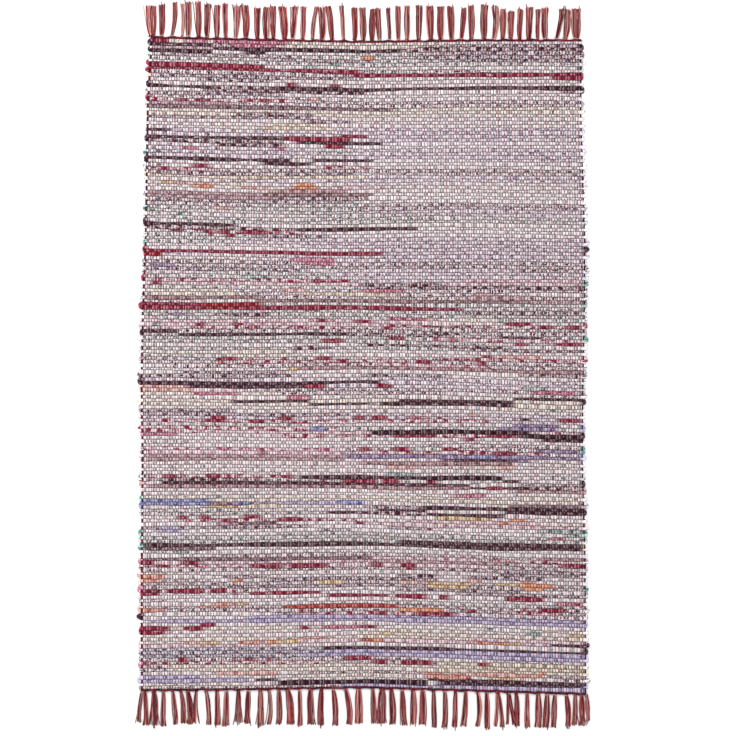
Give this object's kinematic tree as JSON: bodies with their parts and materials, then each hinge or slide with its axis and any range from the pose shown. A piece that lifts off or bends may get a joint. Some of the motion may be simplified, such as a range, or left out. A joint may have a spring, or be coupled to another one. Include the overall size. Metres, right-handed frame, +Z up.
{
  "type": "kilim rug",
  "caption": "Flat-woven rectangular rag rug with low ribs across it and a tufted fringe along both ends; lies flat as a floor covering.",
  "frame": {"origin": "on the floor under the middle of the rug", "axes": "+Z up off the floor, +Y along the rug's length, +X across it from selvedge to selvedge"},
  "size_m": [1.2228, 1.9539, 0.006],
  "materials": {
    "rag_weave": "matte ribbed rag weave, pale printed cottons with thin crimson, dark and lavender stripes",
    "warp_yarn": "matte twisted cotton yarn in dark red, orange and beige"
  },
  "bodies": {
    "root": {"rug_cloth": "rag_weave", "near_fringe": "warp_yarn", "far_fringe": "warp_yarn"}
  },
  "joints": []
}
